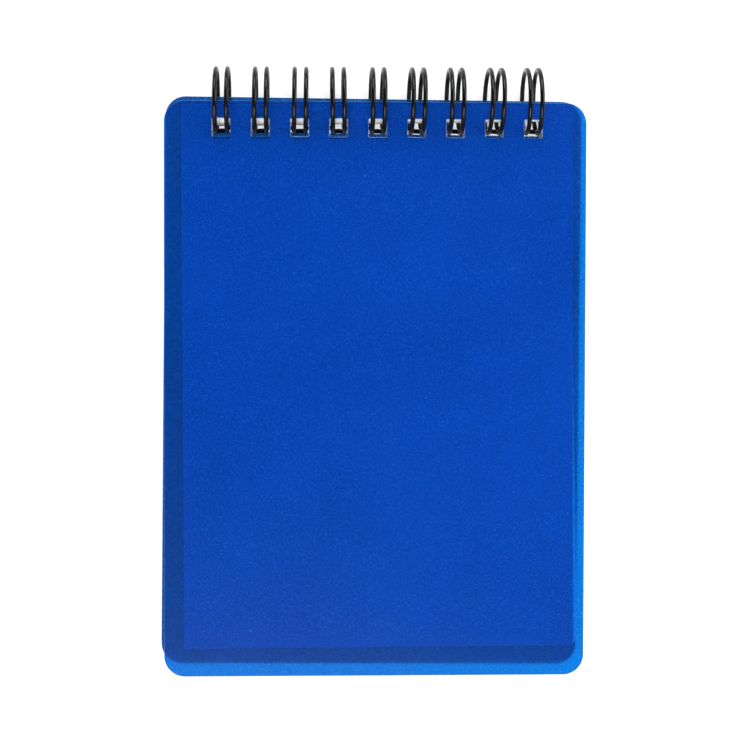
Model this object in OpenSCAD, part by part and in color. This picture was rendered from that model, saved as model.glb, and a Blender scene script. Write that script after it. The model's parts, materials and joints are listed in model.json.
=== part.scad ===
// Pocket notebook bound along its top edge with a twin-loop wire.
// X runs along the binding, +Y towards the loops, +Z up. It lies at rest, front cover up.

/* [Covers] */
// Width of each plastic cover
cover_w = 92; // [88:1:100]
// Length of each plastic cover, binding edge to foot
cover_l = 125; // [105:1:150]
// Thickness of each plastic cover
cover_t = 0.45; // [0.3:0.05:0.6]
// Corner radius of the covers
corner_r = 4.5; // [2:0.5:8]
// How far the middle of the covers lies to the side of the row of holes
cover_shift = -0.5; // [-1:0.1:1]

/* [Paper] */
// Number of leaves
leaf_count = 50; // [10:1:50]
// Width of a leaf
leaf_w = 85; // [78:1:88]
// Length of a leaf
leaf_l = 118.3; // [100:0.1:119]
// Thickness of a leaf
leaf_t = 0.08; // [0.06:0.01:0.08]
// Room that each leaf takes up in the stack
leaf_pitch = 0.085; // [0.085:0.001:0.09]

/* [Binding] */
// Number of twin loops
loop_count = 9; // [5:1:9]
// Distance between neighbouring loops, three to the inch
loop_pitch = 8.467; // [8.4:0.001:8.5]
// Thickness of the wire
wire_d = 1; // [0.8:0.05:1]
// Outside diameter of the loops
loop_d = 14.6; // [14.4:0.1:14.8]
// Distance between the two wires of one loop
wire_gap = 2.5; // [2.2:0.1:2.5]
// Side of the punched square holes
hole_side = 4; // [4:0.1:4.4]
// Middle of the holes to the binding edge of a cover
cover_margin = 5.7; // [5.6:0.1:5.8]
// Middle of the holes to the binding edge of a leaf
leaf_margin = 5.5; // [5.4:0.1:5.6]

/* [Lie] */
// Angle the front cover has slewed on the loops
front_skew = -0.2; // [-0.2:0.1:0.2]
// Angle the first leaf has slewed on the loops
first_leaf_skew = 0.1; // [-1:0.1:1]
// Angle the last leaf has slewed on the loops, the others lying fanned between
last_leaf_skew = 1; // [-1:0.1:1]
// Angle the back cover has slewed on the loops
back_skew = -0.6; // [-0.6:0.1:0.6]

/* [Hidden] */
$fn = 48;
wire_r = wire_d / 2;
// Radius of the middle of the wire, and height of the loops' axis above the table
ring_r = loop_d / 2 - wire_r;
ring_z = loop_d / 2;
// Room between the last leaf and the back cover, which the wire's seam takes up
seam_gap = wire_d + 0.1;
// Heights of the hole rows from the loops' axis, counted to each sheet's middle plane
back_h = -5.2;
leaf_base_h = back_h + cover_t / 2 + seam_gap + leaf_t / 2;
front_h = leaf_base_h + leaf_count * leaf_pitch + cover_t / 2;
// How far each row of holes lies in from the loops' axis
front_in = -6;
leaf_in = -6.3;
back_in = -4.3;
// The sheets' slopes: the feet rest on the table and on each other, and the loops hold up the other ends
foot_l = cover_l - cover_margin;
back_slope = asin((ring_z + back_h - cover_t / 2) / foot_l);
stack_slope = asin((ring_z + back_h - cover_t / 2 + seam_gap) / foot_l);
// Angle round the loops, from +Y towards +Z, of the links between neighbouring loops
link_h = back_h + cover_t / 2 + seam_gap / 2;
link_angle = 180 + asin(-link_h / ring_r);
// The closed tips stop short of the links by the wire's thickness and this room
tip_room = 0.15;
tip_r = wire_gap / 2;
tip_angle = link_angle - (tip_r + wire_d + tip_room) / ring_r * 180 / PI;
// The tips are a hair thinner than the wire, and the elbows a hair thicker, so that they meet at clean edges
tip_fit = 0.97;
elbow_fit = 1.04;
// The whole notebook is centred on X and Y
foot_y = min(
    back_in - foot_l * cos(back_slope) - cover_w / 2 * sin(abs(back_skew)),
    front_in - foot_l * cos(stack_slope) - cover_w / 2 * sin(abs(front_skew)));
ring_y = -(foot_y + loop_d / 2) / 2;
x_shift = -cover_shift - foot_l * (min(0, sin(front_skew), sin(back_skew))
    + max(0, sin(front_skew), sin(back_skew))) / 2;
paper = [0.95, 0.95, 0.93];
blue = [0.03, 0.27, 0.68, 0.85];

function two_digits(n) = str(n < 10 ? "0" : "", n);
function leaf_name(n) = str("leaf_", two_digits(n));
function leaf_skew(n) = first_leaf_skew
    + (last_leaf_skew - first_leaf_skew) * (n - 1) / (leaf_count - 1);
LEAVES = [for (n = [1:leaf_count]) leaf_name(n)];

module at_loops() {
    for (i = [0:loop_count - 1])
        translate([(i - (loop_count - 1) / 2) * loop_pitch, 0, 0]) children();
}

module rounded_rectangle(w, l, r) {
    union() {
        square([w - 2 * r, l], center = true);
        square([w, l - 2 * r], center = true);
        for (x = [-1, 1], y = [-1, 1])
            translate([x * (w / 2 - r), y * (l / 2 - r)]) circle(r);
    }
}

// A punched sheet with its row of holes on the X axis, at half its thickness
module punched_sheet(w, l, t, margin, r, shift) {
    translate([0, 0, -t / 2]) linear_extrude(t) difference() {
        translate([shift, margin - l / 2])
            if (r > 0) rounded_rectangle(w, l, r); else square([w, l], center = true);
        at_loops() square(hole_side, center = true);
    }
}

// Hangs a sheet on the loops: in from their axis, up from it, sloping to its foot and slewed
module on_loops(in, h, slope, skew) {
    translate([x_shift, ring_y + in, ring_z + h])
        rotate([slope, 0, 0]) rotate([0, 0, skew]) children();
}

module front_cover() {
    color(blue) on_loops(front_in, front_h, stack_slope, front_skew)
        punched_sheet(cover_w, cover_l, cover_t, cover_margin, corner_r, cover_shift);
}

module back_cover() {
    color(blue) on_loops(back_in, back_h, back_slope, back_skew)
        punched_sheet(cover_w, cover_l, cover_t, cover_margin, corner_r, cover_shift);
}

// Leaf 1 lies just under the front cover
module leaf(n) {
    color(paper) on_loops(leaf_in, leaf_base_h + (leaf_count - n) * leaf_pitch, stack_slope, leaf_skew(n))
        punched_sheet(leaf_w, leaf_l, leaf_t, leaf_margin, 0, 0);
}

// One wire of a loop, from the link round the far side and the top to the tip
module loop_wire() {
    rotate([90, 0, 90])
        rotate_extrude(angle = 360 + tip_angle - link_angle, start = link_angle)
            translate([ring_r, 0]) circle(wire_r);
}

// The closed tip that joins the two wires of one loop
module loop_tip() {
    rotate([tip_angle, 0, 0]) translate([0, ring_r, 0]) rotate([90, 0, 0])
        rotate_extrude(angle = 180, start = 0) translate([tip_r, 0]) circle(wire_r * tip_fit);
}

// The straight link to the next loop, with a round elbow at each end
module link() {
    span = loop_pitch - wire_gap;
    rotate([link_angle, 0, 0]) translate([wire_gap / 2, ring_r, 0]) {
        rotate([0, 90, 0]) cylinder(r = wire_r, h = span);
        for (x = [0, span]) translate([x, 0, 0]) sphere(wire_r * elbow_fit);
    }
}

module wire_binding() {
    first = -(loop_count - 1) / 2 * loop_pitch;
    color([0.08, 0.08, 0.09]) translate([x_shift, ring_y, ring_z]) {
        at_loops() {
            for (side = [-1, 1]) translate([side * wire_gap / 2, 0, 0]) loop_wire();
            loop_tip();
        }
        for (i = [0:loop_count - 2]) translate([first + i * loop_pitch, 0, 0]) link();
    }
}

front_cover();
back_cover();
wire_binding();
for (n = [1:leaf_count]) leaf(n);
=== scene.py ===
"""Looks of the pocket notebook: frosted blue plastic covers, white leaves and a black twin-loop wire."""

import json
import math
import random

import bmesh
import bpy
from mathutils import Matrix, Vector, geometry


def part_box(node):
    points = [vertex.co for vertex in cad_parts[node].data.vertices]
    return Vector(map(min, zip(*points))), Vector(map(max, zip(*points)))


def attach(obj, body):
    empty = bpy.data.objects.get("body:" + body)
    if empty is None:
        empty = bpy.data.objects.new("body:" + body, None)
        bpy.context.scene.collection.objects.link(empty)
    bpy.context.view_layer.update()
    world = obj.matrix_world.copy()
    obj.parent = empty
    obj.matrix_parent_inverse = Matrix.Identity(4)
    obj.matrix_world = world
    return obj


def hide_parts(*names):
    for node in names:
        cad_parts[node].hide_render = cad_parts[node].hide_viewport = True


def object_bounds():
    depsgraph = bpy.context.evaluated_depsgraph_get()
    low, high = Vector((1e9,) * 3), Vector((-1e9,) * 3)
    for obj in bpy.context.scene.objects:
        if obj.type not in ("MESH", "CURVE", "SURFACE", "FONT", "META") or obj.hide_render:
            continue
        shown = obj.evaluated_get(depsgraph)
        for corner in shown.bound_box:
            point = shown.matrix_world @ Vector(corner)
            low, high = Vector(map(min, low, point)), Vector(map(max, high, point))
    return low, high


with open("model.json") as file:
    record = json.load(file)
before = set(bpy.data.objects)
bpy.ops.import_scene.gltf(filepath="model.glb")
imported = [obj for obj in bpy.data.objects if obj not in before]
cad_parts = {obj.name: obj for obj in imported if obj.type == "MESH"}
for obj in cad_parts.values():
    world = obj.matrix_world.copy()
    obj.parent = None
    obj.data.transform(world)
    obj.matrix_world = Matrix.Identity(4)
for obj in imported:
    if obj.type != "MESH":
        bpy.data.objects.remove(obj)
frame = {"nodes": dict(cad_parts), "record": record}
cad_low, cad_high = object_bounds()
random.seed(7)

MM = 0.001

# The sheets and the binding, in millimetres and degrees, as the frame has them
COVER_W, COVER_L, COVER_T, COVER_R = 92.0, 125.0, 0.45, 4.5
COVER_MARGIN, COVER_SHIFT = 5.7, -0.5
LOOPS, PITCH, HOLE = 9, 8.467, 4.0
WIRE_R, WIRE_GAP, RING_R = 0.5, 2.5, 6.8
LINK_H, TIP_ROOM, LINK_BEND, WIRE_STEPS = -4.425, 0.15, 0.55, 46
# How far the far side of each loop leans sideways: the holes leave 0.25 on each side of it
LEANS = (0.24, 0.2, 0.24, -0.15, 0.1, 0.24, 0.02, 0.24, -0.24)
SLEW = {"front_cover": -0.2, "back_cover": -0.6}
TRIM = {"front_cover": 0.3, "back_cover": 0.0}

# A cover's softened corner, the spacing of its points, and the angle over which an edge looks sharp
SOFT, EDGE_STEP, FACE_STEP, SHARP = 0.07, 3.0, 3.1, 20
PUNCH_ROUGHNESS = 0.02
FRONT_BOW = 0.2
# Which of a cover's materials its edges and its burrs have
EDGE_SLOT, BURR_SLOT = 1, 2

RING = Vector(frame["record"]["behaviour"]["joints"][0]["pos_m"])


# ---------------------------------------------------------------- node helpers
def new_material(name):
    mat = bpy.data.materials.new(name)
    mat.use_nodes = True
    return mat, mat.node_tree, mat.node_tree.nodes["Principled BSDF"]


def noise(nt, coords, scale, detail=4.0, rough=0.5, stretch=(1, 1, 1)):
    """A noise texture in metres: scale is how many features a metre holds."""
    mapping = nt.nodes.new("ShaderNodeMapping")
    mapping.inputs["Scale"].default_value = stretch
    nt.links.new(coords, mapping.inputs["Vector"])
    tex = nt.nodes.new("ShaderNodeTexNoise")
    tex.inputs["Scale"].default_value = scale
    tex.inputs["Detail"].default_value = detail
    tex.inputs["Roughness"].default_value = rough
    nt.links.new(mapping.outputs["Vector"], tex.inputs["Vector"])
    return tex.outputs["Fac"]


def remap(nt, value, low, high, to_low, to_high):
    node = nt.nodes.new("ShaderNodeMapRange")
    for name, number in zip(
        ("From Min", "From Max", "To Min", "To Max"), (low, high, to_low, to_high)
    ):
        node.inputs[name].default_value = number
    nt.links.new(value, node.inputs["Value"])
    return node.outputs["Result"]


def mix_colour(nt, factor, a, b):
    node = nt.nodes.new("ShaderNodeMix")
    node.data_type = "RGBA"
    nt.links.new(factor, node.inputs["Factor"])
    for socket, colour in ((node.inputs[6], a), (node.inputs[7], b)):
        if isinstance(colour, bpy.types.NodeSocket):
            nt.links.new(colour, socket)
        else:
            socket.default_value = (*colour, 1)
    return node.outputs[2]


def math_node(nt, operation, a, b=0.0):
    node = nt.nodes.new("ShaderNodeMath")
    node.operation = operation
    for socket, value in zip(node.inputs, (a, b)):
        if isinstance(value, bpy.types.NodeSocket):
            nt.links.new(value, socket)
        else:
            socket.default_value = value
    return node.outputs[0]


def bump(nt, shader, height, strength, distance):
    node = nt.nodes.new("ShaderNodeBump")
    node.inputs["Strength"].default_value = strength
    node.inputs["Distance"].default_value = distance
    nt.links.new(height, node.inputs["Height"])
    nt.links.new(node.outputs["Normal"], shader.inputs["Normal"])


def object_coords(nt):
    return nt.nodes.new("ShaderNodeTexCoord").outputs["Object"]


# ---------------------------------------------------------------- materials
# Painted glints: lighter blue specks on the covers stand in for the sparkle of their rough surface; the
# same colour also marks the small flaws in the plastic.
FLAW_AND_GLINT_COLOUR = (0.02, 0.33, 0.85)
GLINT_FROM, GLINT_FULL, GLINT_MIX = 0.53, 0.66, 0.6
PAPER_GREY, PAPER_WHITE, FIBRE_COLOUR = (0.86, 0.86, 0.85), (0.90, 0.90, 0.885), (0.80, 0.80, 0.79)
WIRE_BLACK, WIRE_RUBBED = (0.002, 0.002, 0.0022), (0.007, 0.0065, 0.0065)


def cover_material(name, thin, thick, rough):
    """Frosted translucent polypropylene, clear enough for what lies against it to show, with lighter
    specks painted on as the glints of its rough surface.
    """
    mat, nt, shader = new_material(name)
    at = object_coords(nt)
    cloud = noise(nt, at, 38, 3)
    grain = noise(nt, at, 3300, 2, 0.55)
    # Painted glints: scattered specks in a lighter blue that stand in for the sparkle of the rough
    # surface.
    glint_specks = remap(nt, noise(nt, at, 2600, 1, 0.5), GLINT_FROM, GLINT_FULL, 0, GLINT_MIX)
    flaws = remap(nt, noise(nt, at, 900, 0, 0.4), 0.84, 0.87, 0, 1.0)
    colour = mix_colour(nt, remap(nt, cloud, 0.3, 0.7, 0, 1), thin, thick)
    colour = mix_colour(nt, math_node(nt, "MAXIMUM", glint_specks, flaws), colour, FLAW_AND_GLINT_COLOUR)
    nt.links.new(colour, shader.inputs["Base Color"])
    shader.inputs["Transmission Weight"].default_value = 0.9
    shader.inputs["IOR"].default_value = 1.49
    shader.inputs["Specular IOR Level"].default_value = 0.3
    nt.links.new(remap(nt, grain, 0.3, 0.7, rough - 0.04, rough + 0.04), shader.inputs["Roughness"])
    bump(nt, shader, grain, 0.3, 0.00002)
    return mat


def cut_edge_material(name, deep, pale):
    """The punched and trimmed edges, where the plastic has gone paler from the cut, with that paler
    colour also standing in as a painted highlight where the edges catch the light.
    """
    mat, nt, shader = new_material(name)
    at = object_coords(nt)
    streak = noise(nt, at, 900, 3, 0.6, (1, 1, 0.2))
    # The paler colour is partly whitened cut plastic and partly a painted highlight along the edges.
    colour = mix_colour(nt, remap(nt, streak, 0.35, 0.7, 0, 1), deep, pale)
    nt.links.new(colour, shader.inputs["Base Color"])
    shader.inputs["Roughness"].default_value = 0.45
    shader.inputs["Transmission Weight"].default_value = 0.3
    bump(nt, shader, streak, 0.5, 0.00004)
    return mat


def paper_material():
    """Smooth uncoated white paper with faint fibres."""
    mat, nt, shader = new_material("white_paper")
    at = object_coords(nt)
    fibre = noise(nt, at, 2600, 4, 0.65, (1, 0.35, 1))
    blotch = noise(nt, at, 160, 3)
    colour = mix_colour(nt, remap(nt, blotch, 0.3, 0.7, 0, 1), PAPER_GREY, PAPER_WHITE)
    colour = mix_colour(nt, remap(nt, fibre, 0.55, 0.8, 0, 0.35), colour, FIBRE_COLOUR)
    nt.links.new(colour, shader.inputs["Base Color"])
    nt.links.new(remap(nt, fibre, 0.3, 0.7, 0.72, 0.88), shader.inputs["Roughness"])
    shader.inputs["Specular IOR Level"].default_value = 0.3
    bump(nt, shader, fibre, 0.35, 0.00003)
    return mat


def wire_material():
    """Steel wire in a smooth black coat, a little rubbed."""
    mat, nt, shader = new_material("black_coated_wire")
    at = object_coords(nt)
    rub = noise(nt, at, 420, 4, 0.6, (1, 0.5, 1))
    fine = noise(nt, at, 3000, 2)
    colour = mix_colour(nt, remap(nt, rub, 0.58, 0.75, 0, 1), WIRE_BLACK, WIRE_RUBBED)
    nt.links.new(colour, shader.inputs["Base Color"])
    nt.links.new(remap(nt, rub, 0.3, 0.7, 0.16, 0.26), shader.inputs["Roughness"])
    shader.inputs["Specular IOR Level"].default_value = 0.2
    bump(nt, shader, fine, 0.15, 0.00003)
    return mat


# ---------------------------------------------------------------- covers
def rounded_outline(w, l, r, centre, steps=10):
    """Points of a rounded rectangle, anticlockwise from its right side."""
    cx, cy = centre
    points = []
    for corner, (sx, sy) in enumerate(((1, 1), (-1, 1), (-1, -1), (1, -1))):
        for i in range(steps + 1):
            a = math.radians(90 * corner + 90 * i / steps)
            points.append(
                (cx + sx * (w / 2 - r) + r * math.cos(a), cy + sy * (l / 2 - r) + r * math.sin(a))
            )
    return points


def cover_loops(inset, trim):
    """The outer outline and the nine holes, each drawn in from its edge by inset."""
    centre = (COVER_SHIFT + trim / 2, COVER_MARGIN - COVER_L / 2)
    outer = rounded_outline(COVER_W - trim - 2 * inset, COVER_L - 2 * inset, COVER_R - inset, centre)
    holes = [
        rounded_outline(
            HOLE + 2 * inset, HOLE + 2 * inset, 0.3 + inset, ((i - (LOOPS - 1) / 2) * PITCH, 0), 4
        )
        for i in range(LOOPS)
    ]
    return outer, holes


def bow(x, y, lift):
    """How far a cover bows up from its plane, least at its edges and at the binding."""
    along = max(0.0, min(1.0, -y / (COVER_L - COVER_MARGIN)))
    across = 1 - ((x - COVER_SHIFT) / (COVER_W / 2)) ** 2
    return lift * across * math.sin(math.pi * along) ** 0.8 if along > 0 else 0.0


def add_burr(bm, loop, top):
    """A torn whisker of plastic left by the punch along part of a hole's edge."""
    start, count = random.randrange(len(loop)), random.randint(3, 9)
    thick = random.uniform(0.03, 0.06)
    rings = []
    for k in range(count + 1):
        x, y = loop[(start + k) % len(loop)]
        size = thick * (1 - 0.75 * abs(2 * k / count - 1))
        x, y = x + random.uniform(-0.06, 0.06), y + random.uniform(-0.06, 0.06)
        z = top + size * 0.6 + random.uniform(0, 0.05)
        nx, ny = loop[(start + k + 1) % len(loop)]
        px, py = loop[(start + k - 1) % len(loop)]
        along = Vector((nx - px, ny - py, 0)).normalized()
        side = Vector((-along.y, along.x, 0))
        rings.append(
            [
                bm.verts.new(
                    Vector((x, y, z)) + (side * math.cos(a) + Vector((0, 0, 1)) * math.sin(a)) * size
                )
                for a in (math.pi * j / 2.5 for j in range(5))
            ]
        )
    for a, b in zip(rings, rings[1:]):
        for j in range(5):
            bm.faces.new([a[j], a[(j + 1) % 5], b[(j + 1) % 5], b[j]]).material_index = BURR_SLOT
    bm.faces.new(list(reversed(rings[0]))).material_index = BURR_SLOT
    bm.faces.new(rings[-1]).material_index = BURR_SLOT


def cover_mesh(name, lift, burrs, trim):
    """One punched sheet with softened edges, flat on its hole row, in millimetres."""
    half = COVER_T / 2
    full_outer, full_holes = cover_loops(0.0, trim)
    top_outer, top_holes = cover_loops(SOFT, trim)
    sides = zip(full_outer, full_outer[1:] + full_outer[:1])
    counts = [max(1, math.ceil(math.dist(a, b) / EDGE_STEP)) for a, b in sides]

    def cut(points, numbers):
        out = []
        for (a, b), n in zip(zip(points, points[1:] + points[:1]), numbers):
            out += [(a[0] + (b[0] - a[0]) * i / n, a[1] + (b[1] - a[1]) * i / n) for i in range(n)]
        return out

    loops_full = [cut(full_outer, counts)] + full_holes
    loops_top = [cut(top_outer, counts)] + top_holes
    # the flat face is filled once and used for both sides
    points, edges = [], []
    for loop in loops_top:
        first = len(points)
        points += loop
        edges += [(first + i, first + (i + 1) % len(loop)) for i in range(len(loop))]
    nx, ny = int(COVER_W / FACE_STEP), int(COVER_L / FACE_STEP)
    for i in range(1, nx):
        for j in range(1, ny):
            x = COVER_SHIFT - COVER_W / 2 + COVER_W * i / nx
            y = COVER_MARGIN - COVER_L + COVER_L * j / ny
            if y > -HOLE / 2 - 1.2 and abs(((x / PITCH + 0.5) % 1) - 0.5) * PITCH < HOLE / 2 + 0.8:
                if y < HOLE / 2 + 1.0:
                    continue
            points.append((x, y))
    verts, _, faces, _, _, _ = geometry.delaunay_2d_cdt([Vector(p) for p in points], edges, [], 0, 1e-5)

    def in_hole(p):
        last = LOOPS // 2
        nearest = max(-last, min(last, round(p.x / PITCH))) * PITCH
        return abs(p.y) < HOLE / 2 + SOFT and abs(p.x - nearest) < HOLE / 2 + SOFT

    def outside(p):
        x, y = abs(p.x - COVER_SHIFT - trim / 2), abs(p.y - COVER_MARGIN + COVER_L / 2)
        dx, dy = x - (COVER_W / 2 - trim / 2 - COVER_R), y - (COVER_L / 2 - COVER_R)
        return dx > 0 and dy > 0 and math.hypot(dx, dy) > COVER_R - SOFT * 0.5

    assert len(verts) == len(points)
    bm = bmesh.new()
    raise_by = [bow(p.x, p.y, lift) for p in verts]
    upper = [bm.verts.new((p.x, p.y, half + z)) for p, z in zip(verts, raise_by)]
    lower = [bm.verts.new((p.x, p.y, -half + z)) for p, z in zip(verts, raise_by)]
    for f in faces:
        middle = sum((verts[i] for i in f), Vector((0, 0))) / len(f)
        if in_hole(middle) or outside(middle):
            continue
        bm.faces.new([upper[i] for i in f])
        bm.faces.new([lower[i] for i in reversed(f)])
    # the edge: a soft corner above and below a straight wall
    first = 0
    for index, (wall, top) in enumerate(zip(loops_full, loops_top)):
        n = len(wall)
        rings = [[upper[first + i] for i in range(n)]]
        for z in (half - SOFT, SOFT - half):
            rough = 0.0 if index == 0 else PUNCH_ROUGHNESS
            rings.append(
                [
                    bm.verts.new(
                        (
                            x + random.uniform(-rough, rough),
                            y + random.uniform(-rough, rough),
                            z + bow(x, y, lift),
                        )
                    )
                    for x, y in wall
                ]
            )
        rings.append([lower[first + i] for i in range(n)])
        for a, b in zip(rings, rings[1:]):
            for i in range(n):
                j = (i + 1) % n
                quad = [a[i], b[i], b[j], a[j]]
                face = bm.faces.new(quad if index == 0 else list(reversed(quad)))
                face.material_index = EDGE_SLOT
        first += n
    for loop in full_holes if burrs else ():
        for _ in range(random.randint(2, 4)):
            add_burr(bm, loop, half)
    bmesh.ops.recalc_face_normals(bm, faces=bm.faces)
    for edge in bm.edges:
        edge.smooth = edge.calc_face_angle(0) < math.radians(SHARP)
    for face in bm.faces:
        face.smooth = True
    mesh = bpy.data.meshes.new(name)
    bm.to_mesh(mesh)
    bm.free()
    return mesh


def place_cover(node, lift, plastic, burrs):
    """Builds a cover's detailed sheet where the frame has the plain one."""
    mesh = cover_mesh(node + "_sheet", lift, burrs, TRIM[node])
    low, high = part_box(node)
    sheet = bpy.data.objects.new(node + "_sheet", mesh)
    bpy.context.collection.objects.link(sheet)
    turn = Matrix.Rotation(slope_of(node), 4, "X") @ Matrix.Rotation(math.radians(SLEW[node]), 4, "Z")
    mesh.transform(turn)
    mesh.transform(Matrix.Scale(MM, 4))
    y_low = min(v.co.y for v in mesh.vertices)
    mesh.transform(Matrix.Translation((0, low.y - y_low, 0)))
    x_high = max(v.co.x for v in mesh.vertices)
    mesh.transform(Matrix.Translation((high.x - x_high, 0, 0)))
    z_low = min(v.co.z for v in mesh.vertices)
    mesh.transform(Matrix.Translation((0, 0, low.z - z_low)))
    for mat in (plastic, EDGE, BURR):
        mesh.materials.append(mat)
    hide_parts(node)
    return sheet


def slope_of(node):
    """The slope of a flat sheet, from the normal of its largest faces."""
    mesh = frame["nodes"][node].data
    face = max(mesh.polygons, key=lambda p: p.area)
    normal = face.normal if face.normal.z > 0 else -face.normal
    return math.atan2(-normal.y, normal.z)


# ---------------------------------------------------------------- wire
def ring_point(x, angle, out=0.0):
    """A point on a loop's middle line: angle runs from +Y towards +Z, in radians."""
    r = (RING_R + out) * MM
    return Vector((RING_X + x * MM, RING.y + r * math.cos(angle), RING.z + r * math.sin(angle)))


def leaned(x, angle, lean, link):
    """A point on a leg of a loop that leans away from its foot at the link."""
    return ring_point(x + lean * (1 - math.cos(angle - link)) / 2, angle)


def wire_path():
    """The whole binding as one line: along a loop, round its tip, back, and over a link to the next."""
    link = math.pi + math.asin(-LINK_H / RING_R)
    tip_r = WIRE_GAP / 2
    tip = link - (tip_r + 2 * WIRE_R + TIP_ROOM) / RING_R
    sweep = [link + (tip + 2 * math.pi - link) * i / WIRE_STEPS for i in range(WIRE_STEPS + 1)]
    path = []
    for i in range(LOOPS):
        middle = (i - (LOOPS - 1) / 2) * PITCH
        out = [leaned(middle - tip_r, a, LEANS[i], link) for a in sweep]
        back = [leaned(middle + tip_r, a, LEANS[i], link) for a in reversed(sweep)]
        if i > 0:
            path += corner(path[-1], out[0], out[1], LINK_BEND)
            out = out[2:]
        path += out
        along = (ring_point(middle, tip + 0.001) - ring_point(middle, tip)).normalized()
        centre = leaned(middle, tip, LEANS[i], link)
        for k in range(1, 10):
            a = math.pi * k / 10
            path.append(
                centre + Vector((-math.cos(a) * tip_r * MM, 0, 0)) + along * math.sin(a) * tip_r * MM
            )
        if i < LOOPS - 1:
            path += back[:-2]
            nearest = ring_point(middle + PITCH - tip_r, link)
            path += corner(back[-2], back[-1], nearest, LINK_BEND)
        else:
            path += back
    return path


def corner(a, b, c, bend):
    """The rounded corner at b between a and c."""
    before, after = (a - b).normalized() * bend * MM, (c - b).normalized() * bend * MM
    p, q = b + before, b + after
    return [p * (1 - t) ** 2 + b * 2 * t * (1 - t) + q * t**2 for t in (0, 0.2, 0.4, 0.6, 0.8, 1)]


def tube(name, path, radius, sides=16):
    """A closed tube along a line, its rings turned as little as possible from one to the next."""
    bm = bmesh.new()
    rings = []
    normal = None
    for i, p in enumerate(path):
        ahead = (path[min(i + 1, len(path) - 1)] - path[max(i - 1, 0)]).normalized()
        if normal is None:
            normal = ahead.orthogonal().normalized()
        normal = (normal - ahead * normal.dot(ahead)).normalized()
        other = ahead.cross(normal)
        ring = []
        for k in range(sides):
            a = 2 * math.pi * k / sides
            ring.append(bm.verts.new(p + (normal * math.cos(a) + other * math.sin(a)) * radius))
        rings.append(ring)
    for a, b in zip(rings, rings[1:]):
        for k in range(sides):
            j = (k + 1) % sides
            bm.faces.new([a[k], a[j], b[j], b[k]])
    for ring, reverse in ((rings[0], True), (rings[-1], False)):
        cap = bm.faces.new(list(reversed(ring)) if reverse else ring)
        bmesh.ops.inset_individual(bm, faces=[cap], thickness=radius * 0.25, depth=radius * 0.12)
    bmesh.ops.recalc_face_normals(bm, faces=bm.faces)
    mesh = bpy.data.meshes.new(name)
    bm.to_mesh(mesh)
    bm.free()
    for p in mesh.polygons:
        p.use_smooth = True
    return mesh


# ---------------------------------------------------------------- the notebook
FRONT = cover_material("frosted_blue_plastic", (0.0, 0.157, 0.63), (0.0, 0.18, 0.67), 0.22)
# The back cover is a darker blue than the front, which also darkens the bands where it shows through the
# front cover.
BACK = cover_material("darker_blue_plastic", (0.003, 0.066, 0.29), (0.004, 0.078, 0.33), 0.28)
# The paler colours of the cut edges and the burrs are partly the whitening of cut plastic and partly a
# painted highlight where the edges catch the light.
EDGE = cut_edge_material("cut_plastic_edge", (0.004, 0.10, 0.42), (0.05, 0.22, 0.60))
BURR = cut_edge_material("torn_plastic", (0.10, 0.25, 0.65), (0.55, 0.62, 0.85))
PAPER, WIRE = paper_material(), wire_material()

front = place_cover("front_cover", FRONT_BOW, FRONT, True)
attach(front, "front_cover")
back = place_cover("back_cover", 0.0, BACK, False)
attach(back, "binding")

wire_low, wire_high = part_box("wire_binding")
RING_X = (wire_low.x + wire_high.x) / 2
binding_mesh = tube("twin_loop_wire", wire_path(), WIRE_R * MM)
binding_mesh.materials.append(WIRE)
binding = bpy.data.objects.new("twin_loop_wire", binding_mesh)
bpy.context.collection.objects.link(binding)
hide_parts("wire_binding")
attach(binding, "binding")

for name, leaf in frame["nodes"].items():
    if name.startswith("leaf_"):
        leaf.data.materials.clear()
        leaf.data.materials.append(PAPER)


# ---------------------------------------------------------------- floor, light and camera
FLOOR_SIZE, FLOOR_GREY, FLOOR_GLOW = 3.0, 0.36, 0.68
CAP_AXIS = (-0.05, 0.12, 1.0)
CAP_INNER, CAP_OUTER = 34, 50
WORLD_SIDES, WORLD_ENDS = 0.35, 0.5
# Each light's name, place, size in metres and power in watts
LIGHTS = (
    ("key", (0.72, 0.2, 0.5), 0.6, 7.6),
    ("front", (-0.1, -0.62, 0.62), 0.45, 8.0),
    ("back", (0.0, 0.75, 0.55), 0.6, 9.0),
)
CAMERA_PLACE, CAMERA_TURN = (-0.01334, 0.00027, 0.3121), (0.068, -1.839, -0.114)
CAMERA_LENS, CAMERA_SHIFT = 67.4, (0.0246, -0.0066)


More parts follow.
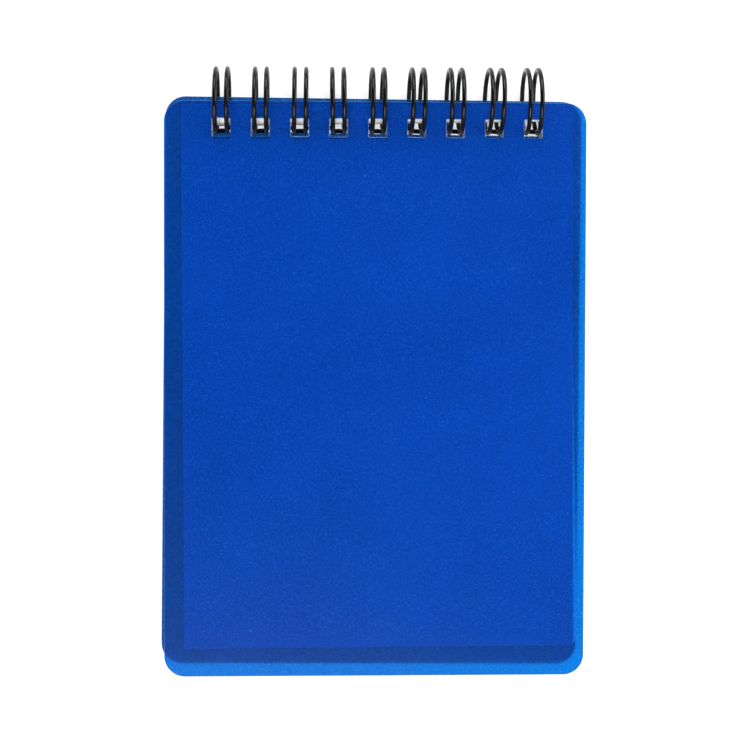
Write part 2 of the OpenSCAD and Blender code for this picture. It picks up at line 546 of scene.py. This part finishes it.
def make_floor():
    mesh = bpy.data.meshes.new("floor")
    bm = bmesh.new()
    bmesh.ops.create_grid(bm, x_segments=2, y_segments=2, size=FLOOR_SIZE)
    bm.to_mesh(mesh)
    bm.free()
    mat, nt, shader = new_material("pale_floor")
    shader.inputs["Base Color"].default_value = (FLOOR_GREY, FLOOR_GREY, FLOOR_GREY, 1)
    shader.inputs["Roughness"].default_value = 0.9
    shader.inputs["Specular IOR Level"].default_value = 0.1
    shader.inputs["Emission Color"].default_value = (1, 1, 1, 1)
    shader.inputs["Emission Strength"].default_value = FLOOR_GLOW
    mesh.materials.append(mat)
    floor = bpy.data.objects.new("floor", mesh)
    bpy.context.collection.objects.link(floor)


def area_light(name, place, aim, size, power):
    data = bpy.data.lights.new(name, "AREA")
    data.shape = "SQUARE"
    data.size = size
    data.energy = power
    light = bpy.data.objects.new(name, data)
    bpy.context.collection.objects.link(light)
    light.location = place
    light.rotation_euler = (Vector(aim) - Vector(place)).to_track_quat("-Z", "Y").to_euler()


def studio_world():
    """Soft light, strongest from the notebook's two ends, with a dark cap behind the camera."""
    world = bpy.data.worlds.new("studio")
    world.use_nodes = True
    nt = world.node_tree
    coords = nt.nodes.new("ShaderNodeTexCoord").outputs["Generated"]
    dot = nt.nodes.new("ShaderNodeVectorMath")
    dot.operation = "DOT_PRODUCT"
    dot.inputs[1].default_value = Vector(CAP_AXIS).normalized()
    nt.links.new(coords, dot.inputs[0])
    rim, core = (math.cos(math.radians(a)) for a in (CAP_OUTER, CAP_INNER))
    lit = remap(nt, dot.outputs["Value"], rim, core, 1, 0)
    parts = nt.nodes.new("ShaderNodeSeparateXYZ")
    nt.links.new(coords, parts.inputs[0])
    towards_ends = math_node(nt, "ABSOLUTE", parts.outputs["Y"])
    ends = remap(nt, towards_ends, 0.4, 0.7, WORLD_SIDES, WORLD_ENDS)
    nt.links.new(math_node(nt, "MULTIPLY", lit, ends), nt.nodes["Background"].inputs["Strength"])
    nt.nodes["Background"].inputs["Color"].default_value = (1, 1, 1, 1)
    bpy.context.scene.world = world


make_floor()
studio_world()


middle = (cad_low + cad_high) / 2
for name, place, size, power in LIGHTS:
    area_light(name, place, middle, size, power)

camera_data = bpy.data.cameras.new("camera")
camera = bpy.data.objects.new("camera", camera_data)
bpy.context.collection.objects.link(camera)
camera_data.sensor_width = 36
camera_data.lens = CAMERA_LENS
camera.location = CAMERA_PLACE
camera.rotation_euler = [math.radians(a) for a in CAMERA_TURN]
camera_data.shift_x, camera_data.shift_y = CAMERA_SHIFT
camera_data.clip_start = 0.01
bpy.context.scene.camera = camera
bpy.context.scene.view_settings.view_transform = "Standard"
